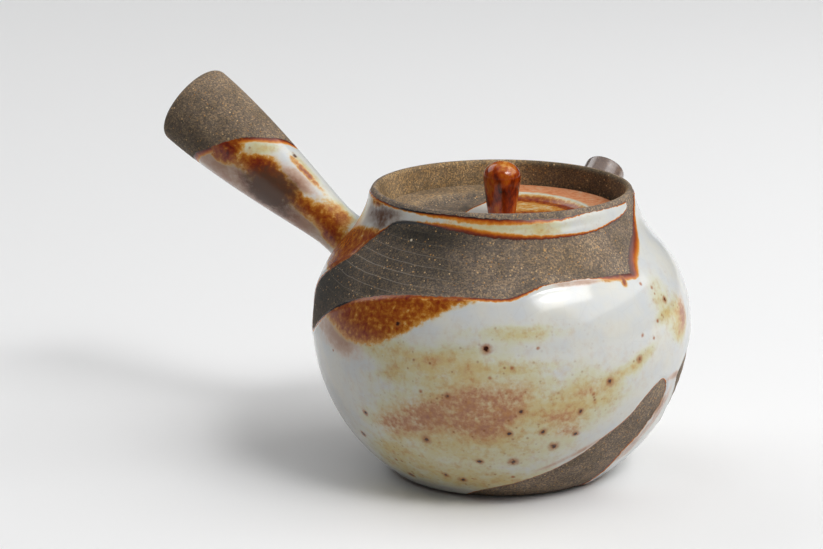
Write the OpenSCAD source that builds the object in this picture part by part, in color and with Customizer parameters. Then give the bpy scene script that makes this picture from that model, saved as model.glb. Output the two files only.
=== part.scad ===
// Side-handled kyusu teapot: a thrown pot with a luted handle, spout and strainer, and a lift-off lid.
// Millimetres, +Z up. The origin is the centre of the base on the table.
// The handle points to -X and the spout to +Y.

/* [Pot] */
// Widest diameter of the belly
belly_d = 107.6; // [102:0.2:116]
// Height of the widest line above the table
belly_z = 44; // [41:0.5:46]
// Height of the rim above the table
pot_h = 82.6; // [80:0.1:87]
// Outer diameter of the rim
rim_d = 74; // [73:0.5:78]
// Radius of the belly's curve below the widest line
belly_curve_r = 52.5; // [50:0.5:53.5]
// Rounding of the edge that the pot stands on
foot_edge_r = 4; // [2:0.5:6]
// Radius of the round shoulder above the widest line
shoulder_r = 32; // [30:0.5:33.5]
// Radius of the hollow curve of the neck
neck_r = 31; // [20:0.5:50]
// Thickness of the thrown wall
wall = 4; // [3:0.25:5]
// Thickness of the floor
floor_t = 5; // [4:0.25:8]

/* [Gallery] */
// Diameter of the mouth inside the rim
mouth_d = 69.6; // [67:0.2:70.6]
// Height of the ledge that carries the lid
seat_z = 72.6; // [72:0.2:74]
// Diameter of the opening inside the ledge
seat_d = 61.6; // [57:0.2:63]

/* [Lid] */
// Gap all round between the lid and the mouth, and between its flange and the ledge
lid_gap = 0.6; // [0.4:0.1:1]
// Thickness of the lid at its edge
lid_t = 3.1; // [2.5:0.1:4.5]
// Rounding of the lid's outer edge
lid_edge_r = 1.1; // [0.5:0.1:1.5]
// Fall of the lid's top ring from its outer edge to the dish
ring_fall = 0.5; // [0:0.1:1]
// Diameter of the dish in the middle of the lid
dish_d = 47; // [38:0.5:52]
// Depth of the dish below the ring
dish_depth = 1.7; // [1:0.1:2.5]
// Length of the curve from the ring down into the dish
dish_run = 4; // [2:0.25:6]
// Thickness of the lid under the dish
plate_t = 3; // [2.5:0.1:4]
// Depth of the flange that keeps the lid in the ledge
flange_h = 6; // [5.5:0.25:9]
// Thickness of the flange
flange_t = 2.4; // [1.8:0.1:3.5]
// Diameter of the steam hole
vent_d = 3; // [2:0.25:4]
// Distance of the steam hole from the middle of the lid
vent_reach = 15; // [10:0.5:17]
// Direction of the steam hole, counted from +X
vent_turn = -61; // [-180:1:180]

/* [Knob] */
// Widest diameter of the knob
knob_d = 10.6; // [9.6:0.1:14]
// Height of the knob above the dish
knob_h = 16; // [13:0.1:20]
// Height of the knob's round top above its widest line
knob_top_h = 4.4; // [3:0.1:6]
// Diameter of the knob's foot on the lid
knob_foot_d = 7.6; // [6:0.1:9.4]

/* [Handle] */
// Rise of the handle above level, in degrees
handle_rise = 32.4; // [26:0.2:40]
// Height at which the handle's axis crosses the pot's axis
handle_axis_z = 28.4; // [25:0.2:33]
// Length of the handle from the wall to its end
handle_len = 68; // [60:0.5:80]
// Diameter of the handle near its end
handle_end_d = 25.8; // [22:0.2:30]
// Diameter of the handle's waist
handle_waist_d = 13.5; // [12:0.1:17]
// Distance of the waist from the wall
handle_waist_at = 7.5; // [7:0.5:14]
// Diameter of the flare where the handle meets the wall
handle_root_d = 20; // [16:0.5:24]
// Thickness of the handle's wall
handle_wall = 3; // [2.5:0.1:4]

/* [Spout] */
// Rise of the spout above level, in degrees
spout_rise = 40; // [34:0.5:46]
// Height at which the spout's axis crosses the pot's axis
spout_axis_z = 21; // [18:0.5:25]
// Length of the spout from the wall to its mouth
spout_len = 22; // [18:0.5:32]
// Diameter of the spout at its mouth
spout_tip_d = 12.2; // [11.4:0.1:14]
// Diameter of the spout where it meets the wall
spout_root_d = 25; // [23:0.5:30]
// Diameter of the hole through the mouth
spout_bore_d = 8.4; // [8:0.1:9]
// Diameter of the hole through the pot's wall behind the spout
outlet_d = 17; // [14:0.5:18.5]
// How much wider that hole is at the outer end of its cut than at the inner end
outlet_taper = 0.8; // [0.4:0.1:1.2]

/* [Strainer] */
// Outer diameter of the strainer's dome
dome_d = 23; // [22:0.5:26]
// Thickness of the dome
dome_t = 2; // [1.5:0.1:2.5]
// Diameter of each strainer hole
pore_d = 2; // [1.4:0.1:2.2]
// Angle between one ring of holes and the next, in degrees
pore_step = 20; // [18:1:21]

/* [Joints] */
// Thickness of the slip that the luted pieces are joined with
slip = 0.1; // [0.05:0.05:0.3]

/* [Hidden] */
$fn = 96;

bare_clay = "#4f4339";
pale_glaze = "#d9dad6";
rust_glaze = "#8f4a20";

// Room past a cut, so that no cut ends on a face
past = 1;
// Straight pieces in each drawn curve
curve_steps = 14;
// Share of its radius at which a cubic's middle points lie for the cubic to be a quarter of a circle
round_share = 0.5523;
// Rings of strainer holes round the one in the middle, and the holes added by each ring
pore_rings = 3;
pores_per_ring = 6;

belly_r = belly_d / 2;
rim_r = rim_d / 2;
mouth_r = mouth_d / 2;
seat_r = seat_d / 2;
lip_r = (rim_r - mouth_r) / 2;
lip_z = pot_h - lip_r;
outlet_r = outlet_d / 2;

// The belly's arc starts at the widest line. The foot's rounding touches it and the table.
belly_c = [belly_r - belly_curve_r, belly_z];
foot_c = [belly_c.x + sqrt(pow(belly_curve_r - foot_edge_r, 2) - pow(belly_z - foot_edge_r, 2)), foot_edge_r];
foot_tangent = belly_c + belly_curve_r * (foot_c - belly_c) / norm(foot_c - belly_c);

// The shoulder's arc meets the belly's at the widest line.
// The neck's arc touches the shoulder's and ends at the lip.
shoulder_c = [belly_r - shoulder_r, belly_z];
neck_c = third_corner(shoulder_c, [rim_r, lip_z], shoulder_r + neck_r, neck_r);
neck_way = (neck_c - shoulder_c) / norm(neck_c - shoulder_c);

lid_r = mouth_r - lid_gap;
flange_r = seat_r - lid_gap;
lid_top = seat_z + lid_t;
dish_r = dish_d / 2;
dish_z = lid_top - ring_fall - dish_depth;
plate_z = dish_z - plate_t;

handle_root = wall_distance(handle_rise, handle_axis_z, shoulder_r);
spout_root = wall_distance(spout_rise, spout_axis_z, shoulder_r);
spout_inlet = wall_distance(spout_rise, spout_axis_z, shoulder_r - wall);

// How far the round wall falls away from a luted piece's axis at the piece's edge
handle_drop = handle_root_d * handle_root_d / (8 * shoulder_r);
spout_drop = spout_root_d * spout_root_d / (8 * shoulder_r);
// How far a luted piece runs into the pot before the pot's own surface trims it
handle_sunk = handle_drop + wall / 2;
spout_sunk = spout_drop + wall / 2;

// The corner c of a triangle, right of the way from a to b, with the sides ac and bc given
function third_corner(a, b, ac, bc) =
    let (ab = norm(b - a),
         way = (b - a) / ab,
         along = (ab * ab + ac * ac - bc * bc) / (2 * ab),
         aside = sqrt(ac * ac - along * along))
    a + along * way + aside * [way.y, -way.x];

// Distance from the pot's axis, along a line that rises at an angle, to the shoulder's arc of radius r
function wall_distance(rise, axis_z, r) =
    let (off = [-shoulder_c.x, axis_z - belly_z],
         half = off * [cos(rise), sin(rise)])
    -half + sqrt(half * half - off * off + r * r);

// Points on an arc round c, from one angle to another
function arc(c, r, from, to, steps = curve_steps) =
    [for (i = [0 : steps])
        let (a = from + (to - from) * i / steps)
        c + r * [cos(a), sin(a)]];

// Points on a cubic curve from a to d that leaves a towards b and reaches d from c
function curve(a, b, c, d, steps = curve_steps) =
    [for (i = [0 : steps])
        let (t = i / steps, s = 1 - t)
        s * s * s * a + 3 * s * s * t * b + 3 * s * t * t * c + t * t * t * d];

// The same points, each moved by one step towards the axis
function inward(points, step) = [for (p = points) p - [step, 0]];

function backward(points) = [for (i = [len(points) - 1 : -1 : 0]) points[i]];

// Half outlines of the pot's outside, filled to the axis and grown by a little where asked
module belly_outline(grow = 0) {
    intersection() {
        translate(belly_c)
            circle(r = belly_curve_r + grow);
        translate([0, foot_tangent.y])
            square([belly_d, belly_z - foot_tangent.y]);
    }
    intersection() {
        translate(foot_c)
            circle(r = foot_edge_r + grow);
        translate([foot_c.x, 0])
            square([foot_tangent.x, foot_tangent.y]);
    }
    square([foot_c.x, foot_tangent.y]);
}

module shoulder_outline(grow = 0) {
    intersection() {
        translate(shoulder_c)
            circle(r = shoulder_r + grow);
        translate(shoulder_c)
            square(belly_d);
    }
}

module neck_outline(grow = 0) {
    difference() {
        polygon([[0, belly_z], shoulder_c, shoulder_c + (shoulder_r + grow + past) * neck_way,
                 [belly_r, lip_z], [0, lip_z]]);
        translate(neck_c)
            circle(r = neck_r - grow);
    }
}

// Half outline of the pot's inside under the ledge, drawn in by a little where asked
module inside_outline(draw_in = 0) {
    intersection() {
        translate(belly_c)
            circle(r = belly_curve_r - wall - draw_in);
        translate([0, floor_t])
            square([belly_d, belly_z - floor_t]);
    }
    intersection() {
        translate(shoulder_c)
            circle(r = shoulder_r - wall - draw_in);
        translate(shoulder_c)
            square(belly_d);
    }
    translate([0, belly_z])
        square([seat_r, seat_z - belly_z]);
}

// Puts a piece drawn along +Z on the handle's axis, or on the spout's, at a distance from the pot's axis
module on_handle_axis(distance) {
    translate([0, 0, handle_axis_z])
        rotate([0, handle_rise - 90, 0])
            translate([0, 0, distance])
                children();
}

module on_spout_axis(distance) {
    translate([0, 0, spout_axis_z])
        rotate([spout_rise - 90, 0, 0])
            translate([0, 0, distance])
                children();
}

// Trims a luted piece to the pot's outside, with room for the slip
module trimmed_to_pot() {
    difference() {
        children();
        rotate_extrude()
            belly_outline(slip);
        rotate_extrude()
            shoulder_outline(slip);
        rotate_extrude()
            neck_outline(slip);
    }
}

module pot_body() {
    color(pale_glaze)
    difference() {
        rotate_extrude() {
            difference() {
                union() {
                    belly_outline();
                    shoulder_outline();
                    neck_outline();
                }
                inside_outline();
                translate([0, seat_z])
                    square([mouth_r, pot_h]);
            }
            intersection() {
                translate([mouth_r + lip_r, lip_z])
                    circle(r = lip_r);
                translate([0, lip_z])
                    square(rim_r);
            }
        }
        on_spout_axis(spout_inlet - outlet_r)
            cylinder(d1 = outlet_d - outlet_taper / 2, d2 = outlet_d + outlet_taper / 2,
                     h = spout_root - spout_inlet + 2 * outlet_r);
    }
}

module spout() {
    tip_r = spout_tip_d / 2;
    bore_r = spout_bore_d / 2;
    root_r = spout_root_d / 2;
    lip = (tip_r - bore_r) / 2;
    lip_at = spout_len - lip;
    outside = curve([root_r, -spout_drop], [(root_r + tip_r) / 2, 0],
                    [tip_r, spout_len / 2], [tip_r, lip_at]);
    bore = curve([outlet_r, -spout_sunk], [outlet_r, 0], [bore_r, spout_len / 4], [bore_r, lip_at]);
    color(bare_clay)
    trimmed_to_pot()
        on_spout_axis(spout_root)
            rotate_extrude()
                polygon(concat([[root_r, -spout_sunk]], outside,
                               arc([tip_r - lip, lip_at], lip, 0, 180), backward(bore)));
}

module strainer() {
    dome_r = dome_d / 2;
    color(bare_clay)
    intersection() {
        on_spout_axis(spout_inlet)
            difference() {
                sphere(r = dome_r);
                sphere(r = dome_r - dome_t);
                for (ring = [0 : pore_rings])
                    for (i = [0 : max(pores_per_ring * ring, 1) - 1])
                        rotate([0, 180 - pore_step * ring, 360 * i / max(pores_per_ring * ring, 1)])
                            translate([0, 0, dome_r - dome_t - past])
                                cylinder(d = pore_d, h = dome_t + 2 * past);
            }
        rotate_extrude()
            inside_outline(slip);
    }
}

module handle() {
    end_r = handle_end_d / 2;
    waist_r = handle_waist_d / 2;
    root_r = handle_root_d / 2;
    lip = handle_wall / 2;
    lip_at = handle_len - lip;
    swell = lip_at - handle_waist_at;
    flare = curve([root_r, -handle_drop], [waist_r, 0],
                  [waist_r, handle_waist_at / 2], [waist_r, handle_waist_at]);
    grip = curve([waist_r, handle_waist_at], [waist_r, handle_waist_at + swell / 10],
                 [end_r, lip_at - swell * 2 / 5], [end_r, lip_at]);
    outside = concat([[root_r, -handle_sunk]], flare, [for (i = [1 : curve_steps]) grip[i]]);
    color(rust_glaze)
    trimmed_to_pot()
        on_handle_axis(handle_root)
            rotate_extrude()
                polygon(concat(outside, arc([end_r - lip, lip_at], lip, 0, 180),
                               backward(inward(outside, handle_wall))));
}

module lid() {
    flange_in = flange_r - flange_t;
    ring_in = dish_r + dish_run / 2;
    dish_in = dish_r - dish_run / 2;
    ring_z = lid_top - ring_fall;
    dish_wall = curve([ring_in, ring_z], [dish_r, ring_z], [dish_r, dish_z], [dish_in, dish_z]);
    color(bare_clay)
    difference() {
        rotate_extrude()
            polygon(concat([[0, plate_z], [flange_in, plate_z], [flange_in, seat_z - flange_h],
                            [flange_r, seat_z - flange_h], [flange_r, seat_z], [lid_r, seat_z]],
                           arc([lid_r - lid_edge_r, lid_top - lid_edge_r], lid_edge_r, 0, 90),
                           dish_wall, [[0, dish_z]]));
        rotate([0, 0, vent_turn])
            translate([vent_reach, 0, plate_z - past])
                cylinder(d = vent_d, h = plate_t + 2 * past);
    }
}

module lid_knob() {
    top_r = knob_d / 2;
    foot_r = knob_foot_d / 2;
    wide_z = knob_h - knob_top_h;
    side = curve([foot_r, 0], [foot_r + (top_r - foot_r) / 3, wide_z / 3], [top_r, wide_z * 3 / 4], [top_r, wide_z]);
    dome = curve([top_r, wide_z], [top_r, wide_z + round_share * knob_top_h],
                 [round_share * top_r, knob_h], [0, knob_h]);
    color(rust_glaze)
    translate([0, 0, dish_z])
        rotate_extrude()
            polygon(concat([[0, 0]], side, dome));
}

pot_body();
spout();
strainer();
handle();
lid();
lid_knob();
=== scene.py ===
import bpy
import numpy as np
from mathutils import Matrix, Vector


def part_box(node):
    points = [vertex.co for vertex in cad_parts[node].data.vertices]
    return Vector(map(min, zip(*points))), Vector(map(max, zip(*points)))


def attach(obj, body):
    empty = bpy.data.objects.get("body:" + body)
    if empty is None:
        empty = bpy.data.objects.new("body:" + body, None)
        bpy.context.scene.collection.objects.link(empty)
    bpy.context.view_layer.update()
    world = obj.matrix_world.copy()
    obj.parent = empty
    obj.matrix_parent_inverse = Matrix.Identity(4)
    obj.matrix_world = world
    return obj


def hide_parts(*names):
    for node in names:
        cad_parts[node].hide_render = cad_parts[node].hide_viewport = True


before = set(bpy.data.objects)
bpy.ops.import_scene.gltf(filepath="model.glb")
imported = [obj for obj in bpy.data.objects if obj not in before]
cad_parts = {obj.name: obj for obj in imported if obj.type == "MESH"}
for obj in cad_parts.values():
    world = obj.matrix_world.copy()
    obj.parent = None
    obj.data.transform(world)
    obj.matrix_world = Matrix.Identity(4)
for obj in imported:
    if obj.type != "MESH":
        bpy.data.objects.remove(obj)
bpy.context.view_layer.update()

# Pot body
# A pot thrown on the wheel from dark sandy stoneware, with a ledge inside its neck that carries the lid, and
# a round hole through the shoulder behind the spout. It was dipped in glaze. A window on the shoulder, two
# wiped patches low on the side, the lip and the sole stay bare.
MM = 0.001
POT_HIGH = np.array(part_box("pot_body")[1]) / MM
BELLY_R = POT_HIGH[0]
POT_H = POT_HIGH[2]
BELLY_Z = 44.0
BELLY_CURVE_R = 52.5
FOOT_EDGE_R = 4.0
SHOULDER_R = 32.0
NECK_R = 31.0
RIM_R = 37.0
MOUTH_R = 34.8
SEAT_Z = 72.6
SEAT_R = 30.8
WALL = 4.0
FLOOR_T = 5.0
LIP_R = (RIM_R - MOUTH_R) / 2
LIP_Z = POT_H - LIP_R
# Turns round the pot are counted in degrees from this bearing, which faces the camera
FRONT = -61.0


def arc(centre, radius, start, end, spacing=0.2):
    """Points on a circle round centre, from one angle in degrees to another, about one spacing apart."""
    count = max(int(abs(np.radians(end - start)) * radius / spacing), 4)
    angle = np.radians(np.linspace(start, end, count))
    return np.column_stack([centre[0] + radius * np.cos(angle), centre[1] + radius * np.sin(angle)])


def lengths(points):
    """Distance along a line of points from its start to each of them."""
    return np.concatenate([[0], np.cumsum(np.hypot(*np.diff(points, axis=0).T))])


def half_outline(stretches, spacing=0.2, passes=6):
    """Joins stretches of (points, spacing of the mesh's rows) into one half outline of radius and height.

    The line is spaced evenly and its corners are eased as a wet sponge does: each pass moves every point to
    the average of itself, counted twice, and its two neighbours. Gives the line, the length along it at each
    of its points, and the lengths at which the rows lie.
    """
    sharp = np.vstack([points for points, _ in stretches])
    even = np.arange(0, lengths(sharp)[-1] + spacing, spacing)
    line = np.column_stack([np.interp(even, lengths(sharp), sharp[:, axis]) for axis in (0, 1)])
    for _ in range(passes):
        line[1:-1] = (line[:-2] + 2 * line[1:-1] + line[2:]) / 4
    along = lengths(line)
    ends = np.cumsum([0] + [lengths(points)[-1] for points, _ in stretches])
    ends *= along[-1] / ends[-1]
    counts = [max(round(lengths(points)[-1] / step), 2) for points, step in stretches]
    rows = [np.linspace(start, end, count, endpoint=False)
            for start, end, count in zip(ends[:-1], ends[1:], counts)]
    return line, along, np.append(np.concatenate(rows), along[-1])


def turned_grid(rows, columns):
    """Turns in degrees and lengths along a half outline, on a grid of its rows and of even columns."""
    return np.meshgrid(np.linspace(-180, 180, columns, endpoint=False), rows)


def follow(run, line, along):
    """The two values of a half outline, such as its radius and height, at lengths along it."""
    return (np.interp(run, along, line[:, axis]) for axis in (0, 1))


def turned_points(turn, radius, height):
    """Places in mm at turns off the front, a radius and a height. The first and last row lie on the axis."""
    bearing = np.radians(turn + FRONT)
    points = np.stack([radius * np.cos(bearing), radius * np.sin(bearing), height], -1)
    points[[0, -1], :, :2] = 0
    return points


def touching_centre(centre, end, centre_r, new_r):
    """Centre of a circle of new_r that touches one of centre_r from outside, on its right, and meets end."""
    gap = end - centre
    apart = np.hypot(*gap)
    along = (apart**2 + (centre_r + new_r) ** 2 - new_r**2) / (2 * apart)
    aside = np.sqrt((centre_r + new_r) ** 2 - along**2)
    return centre + (along * gap + aside * np.array([gap[1], -gap[0]])) / apart


belly_c = np.array([BELLY_R - BELLY_CURVE_R, BELLY_Z])
shoulder_c = np.array([BELLY_R - SHOULDER_R, BELLY_Z])
foot_rise = BELLY_Z - FOOT_EDGE_R
foot_c = np.array([belly_c[0] + np.sqrt((BELLY_CURVE_R - FOOT_EDGE_R) ** 2 - foot_rise**2), FOOT_EDGE_R])
foot_angle = np.degrees(np.arctan2(-foot_rise, foot_c[0] - belly_c[0]))
neck_c = touching_centre(shoulder_c, np.array([RIM_R, LIP_Z]), SHOULDER_R, NECK_R)
neck_angle = np.degrees(np.arctan2(*(neck_c - shoulder_c)[::-1]))
lip_angle = np.degrees(np.arctan2(LIP_Z - neck_c[1], RIM_R - neck_c[0])) + 360
inner_shoulder_r = SHOULDER_R - WALL
inner_belly_r = BELLY_CURVE_R - WALL
ledge_angle = np.degrees(np.arccos((SEAT_R - shoulder_c[0]) / inner_shoulder_r))
floor_angle = np.degrees(np.arcsin((FLOOR_T - BELLY_Z) / inner_belly_r))
floor_r = belly_c[0] + inner_belly_r * np.cos(np.radians(floor_angle))

pot_line, pot_along, pot_rows = half_outline([
    ([[0, 0], [foot_c[0], 0]], 3.6),
    (arc(foot_c, FOOT_EDGE_R, -90, foot_angle), 0.7),
    (arc(belly_c, BELLY_CURVE_R, foot_angle, 0), 0.75),
    (arc(shoulder_c, SHOULDER_R, 0, neck_angle), 0.72),
    (arc(neck_c, NECK_R, 180 + neck_angle, lip_angle), 0.7),
    (arc([RIM_R - LIP_R, LIP_Z], LIP_R, 0, 180), 0.36),
    ([[MOUTH_R, LIP_Z], [MOUTH_R, SEAT_Z]], 0.9),
    ([[MOUTH_R, SEAT_Z], [SEAT_R, SEAT_Z]], 0.7),
    (arc(shoulder_c, inner_shoulder_r, ledge_angle, 0), 0.9),
    (arc(belly_c, inner_belly_r, 0, floor_angle), 2.0),
    ([[floor_r, FLOOR_T], [0, FLOOR_T]], 3.6),
])
lip_along = pot_along[np.argmax(pot_line[:, 1])]
outside = pot_along <= lip_along


def skin_radius(height):
    """Radius of the pot's outside at a height."""
    return np.interp(height, pot_line[outside, 1], pot_line[outside, 0])


def skin_along(height):
    """Length along the half outline at which the pot's outside reaches a height."""
    return np.interp(height, pot_line[outside, 1], pot_along[outside])


def skin_point(turn, height):
    """Places in mm on the pot's outside, from turns in degrees off the front and heights."""
    bearing = np.radians(np.asarray(turn) + FRONT)
    radius = skin_radius(height)
    return np.stack([radius * np.cos(bearing), radius * np.sin(bearing), np.asarray(height, float)], -1)


# A hole, behind the spout or in the lid, takes a square of cells out of both skins, this many each way from
# its middle
HOLE_CELLS = 10


def make_way(turn, run, radius, row, column, hole_r):
    """Draws a grid's lines aside, so that the square of cells round one place becomes a circle of hole_r.

    A ring of cells that is m times as far out as the square's edge is drawn to a circle of m times hole_r.
    The pull is whole at the edge and fades to nothing three times as far out.
    """
    rows, columns = np.indices(turn.shape)
    ring = np.maximum(abs(rows - row), abs(columns - column)) / HOLE_CELLS
    sideways = turn - turn[row, column]
    upward = run - run[row, column]
    reach = np.hypot(np.radians(sideways) * radius[row, column], upward) + 1e-6
    pull = np.clip(1.5 - ring / 2, 0, 1) * (ring > 0.9)
    draw = pull * (hole_r * ring / reach - 1)
    return turn + sideways * draw, run + upward * draw


def shell_faces(shape, hole=None):
    """Faces of a grid of rows and columns that closes on itself sideways, and to a point at its two ends.

    hole gives (row, column) of the same hole on the outer and on the inner skin. Its cells are left out of
    both, and a ring of faces joins the two edges through the wall.
    """
    point = np.arange(shape[0] * shape[1]).reshape(shape)
    beside = np.roll(point, -1, axis=1)
    quads = np.stack([point[:-1], beside[:-1], beside[1:], point[1:]], -1)
    keep = np.ones(quads.shape[:2], bool)
    keep[[0, -1]] = False
    first = np.column_stack([np.full(shape[1], point[0, 0]), beside[1], point[1]])
    last = np.column_stack([point[-2], beside[-2], np.full(shape[1], point[-1, 0])])
    rings = []
    if hole:
        side = np.arange(-HOLE_CELLS, HOLE_CELLS)
        whole = np.full(2 * HOLE_CELLS, HOLE_CELLS)
        across = np.concatenate([side, whole, -side, -whole])
        upward = np.concatenate([-whole, side, whole, -side])
        for (row, column), flip in zip(hole, (1, -1)):
            keep[row - HOLE_CELLS:row + HOLE_CELLS, column - HOLE_CELLS:column + HOLE_CELLS] = False
            rings.append(point[row + flip * upward, column + across])
        outer, inner = rings
        rings = [np.column_stack([outer, np.roll(outer, -1), np.roll(inner, -1), inner])]
    return np.concatenate([quads[keep], *rings]), np.concatenate([first, last])


def make_piece(name, points, quads, triangles, fields):
    """A smooth mesh object from points in mm, arrays of faces, and a value per point for each field."""
    corners = np.concatenate([quads.ravel(), triangles.ravel()])
    used, corners = np.unique(corners, return_inverse=True)
    sizes = np.repeat([4, 3], [len(quads), len(triangles)])
    mesh = bpy.data.meshes.new(name)
    mesh.vertices.add(len(used))
    mesh.vertices.foreach_set("co", (points.reshape(-1, 3)[used] * MM).astype(np.float32).ravel())
    mesh.loops.add(len(corners))
    mesh.loops.foreach_set("vertex_index", corners.astype(np.int32))
    mesh.polygons.add(len(sizes))
    mesh.polygons.foreach_set("loop_start", np.concatenate([[0], np.cumsum(sizes)[:-1]]).astype(np.int32))
    mesh.polygons.foreach_set("use_smooth", np.ones(len(sizes), bool))
    for field, values in fields.items():
        attribute = mesh.attributes.new(field, "FLOAT", "POINT")
        attribute.data.foreach_set("value", values.ravel()[used].astype(np.float32))
    mesh.update(calc_edges=True)
    piece = bpy.data.objects.new(name, mesh)
    bpy.context.scene.collection.objects.link(piece)
    return piece


def closed_curve(points, steps=8):
    """A smooth closed line through points, of cubics whose slope at a point follows its two neighbours.

    The slope is half the way from the point before to the point after. A point that is written twice is a
    corner.
    """
    here = np.array(points, float)[:, None]
    before, after, beyond = (np.roll(here, shift, 0) for shift in (1, -1, -2))
    share = np.linspace(0, 1, steps, endpoint=False)[None, :, None]
    bend = (2 * before - 5 * here + 4 * after - beyond) * share**2
    bend += (3 * here - before - 3 * after + beyond) * share**3
    return (here + ((after - before) * share + bend) / 2).reshape(-1, 2)


def outline_distance(turn, height, points):
    """Distance in mm from places on the pot's skin to a closed outline of (turn, height), negative inside it.

    It is the straight distance in space to the nearest stretch of the outline. A place is inside if a line
    from it crosses the outline an odd number of times.
    """
    curve = closed_curve(points)
    place, edge = skin_point(turn, height), skin_point(curve[:, 0], curve[:, 1])
    nearest = np.full(turn.shape, np.inf)
    inside = np.zeros(turn.shape, bool)
    for k in range(len(curve)):
        (turn_a, height_a), (turn_b, height_b) = curve[k - 1], curve[k]
        way, to_place = edge[k] - edge[k - 1], place - edge[k - 1]
        share = np.clip(to_place @ way / max(way @ way, 1e-9), 0, 1)
        nearest = np.minimum(nearest, np.linalg.norm(to_place - share[..., None] * way, axis=-1))
        if turn_a != turn_b:
            passes = (turn_a > turn) != (turn_b > turn)
            crossing = height_a + (height_b - height_a) * (turn - turn_a) / (turn_b - turn_a)
            inside ^= passes & (height < crossing)
    return np.where(inside, -nearest, nearest)


def brushed(turn, run, radius, strokes):
    """Strength from 0 to 1 of soft strokes of a brush on a turned surface.

    A stroke is (turn, run, half length round, half length along, tilt in degrees, strength). Its strength
    falls off as a bell round its middle, and strokes that overlap build up. A stroke of negative strength
    wipes.
    """
    uncovered = np.ones(turn.shape)
    for turn_at, run_at, half_round, half_along, tilt, strength in strokes:
        sideways = np.radians((turn - turn_at + 180) % 360 - 180) * radius
        upward = run - run_at
        tilt_cos, tilt_sin = np.cos(np.radians(tilt)), np.sin(np.radians(tilt))
        far = ((sideways * tilt_cos + upward * tilt_sin) / half_round) ** 2
        far += ((upward * tilt_cos - sideways * tilt_sin) / half_along) ** 2
        uncovered *= 1 - strength * np.exp(-far)
    return np.clip(1 - uncovered, 0, 1)


POT_COLUMNS = 408
OUTLET_R = 8.5
SPOUT_BEARING = 90.0
SPOUT_RISE = 40.0
SPOUT_AXIS_Z = 21.0
# Distance from any place inside the pot that is surely past its skin
FAR_OUT = 90.0
HALVINGS = 40


def skin_distance(start, way, far=FAR_OUT):
    """Distance along a way from inside the pot to its outside, found by halving a stretch up to far."""
    near, far = np.zeros(start.shape[:-1]), np.full(start.shape[:-1], far)
    for _ in range(HALVINGS):
        middle = (near + far) / 2
        point = start + middle[..., None] * way
        out = np.hypot(point[..., 0], point[..., 1]) > skin_radius(point[..., 2])
        near, far = np.where(out, near, middle), np.where(out, middle, far)
    return near


def rising_way(bearing, rise):
    """Direction that points to a bearing and rises, both in degrees."""
    bearing, rise = np.radians(bearing), np.radians(rise)
    return np.array([np.cos(rise) * np.cos(bearing), np.cos(rise) * np.sin(bearing), np.sin(rise)])


spout_way = rising_way(SPOUT_BEARING, SPOUT_RISE)
spout_start = np.array([0, 0, SPOUT_AXIS_Z])
spout_root = skin_distance(spout_start, spout_way)
outlet_z = (spout_start + spout_root * spout_way)[2]
pot_turn, pot_run = turned_grid(pot_rows, POT_COLUMNS)
pot_radius = np.interp(pot_run, pot_along, pot_line[:, 0])
outlet_column = np.argmin(abs(pot_turn[0] - (SPOUT_BEARING - FRONT)))
inner_z = np.interp(pot_rows, pot_along, pot_line[:, 1])
inner_z[pot_rows <= lip_along] = np.inf
outlet_drop = WALL * np.sin(np.radians(SPOUT_RISE))
outlet = [(np.argmin(abs(pot_rows - skin_along(outlet_z))), outlet_column),
          (np.argmin(abs(inner_z - (outlet_z - outlet_drop))), outlet_column)]
for row, column in outlet:
    pot_turn, pot_run = make_way(pot_turn, pot_run, pot_radius, row, column, OUTLET_R)
pot_radius, pot_height = follow(pot_run, pot_line, pot_along)
on_outside = pot_run < lip_along

# Outlines of the bare clay, as (turn, height) points given on the skin
WINDOW = [(49.7, 64.8), (49.7, 64.8), (44, 65.1), (36, 65.3), (26, 65.5), (20, 65.3), (14.4, 64.9),
          (9.3, 63.9), (4.7, 62.6), (0, 62), (-13, 62.1), (-34, 60.9), (-50, 57.7), (-61, 53.5), (-72, 47),
          (-82, 42.5), (-92, 46), (-86, 54.5), (-77, 60.2), (-68, 65.2), (-62, 70.7), (-55, 74.4),
          (-51, 76.2), (-46.8, 77.2), (-41, 77.8), (-30, 77.9), (-17, 77.2), (-8.7, 76.5), (0, 76),
          (7.4, 75.7), (15.7, 75.6), (24.4, 75.6), (31.2, 75.7), (40, 75.9), (48, 76.7), (55.5, 77.4),
          (62, 78.1), (66.5, 79.1), (68.5, 80.4), (67.5, 82.2), (83, 82.2), (80, 80), (74.2, 77.9),
          (68.9, 75.3), (64.6, 73.2), (60.4, 71.6), (56, 69.6), (53.1, 68), (50.9, 66.3)]
SWIPE = [(-14, 1.4), (-7.2, 3.6), (0, 5.3), (8.2, 7.3), (19.5, 11.2), (29, 15.9), (35.3, 20.3),
         (41.5, 23.8), (45.7, 26.8), (48.9, 29.9), (52.6, 32.3), (56, 33.9), (58, 33.9), (60.4, 32.2),
         (61.4, 29.6), (60.8, 25.7), (58.3, 22.5), (54.7, 17.8), (50.7, 14.2), (49.3, 9.3), (49, 5),
         (46, 1), (40, 0.2), (20, 0.1), (0, 0.1), (-14, 0.2)]
SIDE_PATCH = [(84, 40.5), (78, 37.6), (72, 34.5), (69.5, 32.4), (70.8, 29.6), (72, 25.7), (72, 21.7),
              (78, 18), (95, 17), (115, 22), (122, 30), (112, 38), (97, 42)]
LIP_LINE_TURN = [-180, -81, -46, -20, 0, 26, 38, 64, 100, 180]
LIP_LINE_Z = [81.4, 81.7, 81.6, 81.8, 81.3, 80.8, 81.5, 81.2, 81.4, 81.4]
FOOT_LINE_Z = 0.5
SOLE_Z = 0.05
# The field glaze_edge is the distance in mm from an edge into the glaze. It is below 0 on the clay, and BARE
# on the sole and on the inside.
BARE = -9.0

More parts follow.
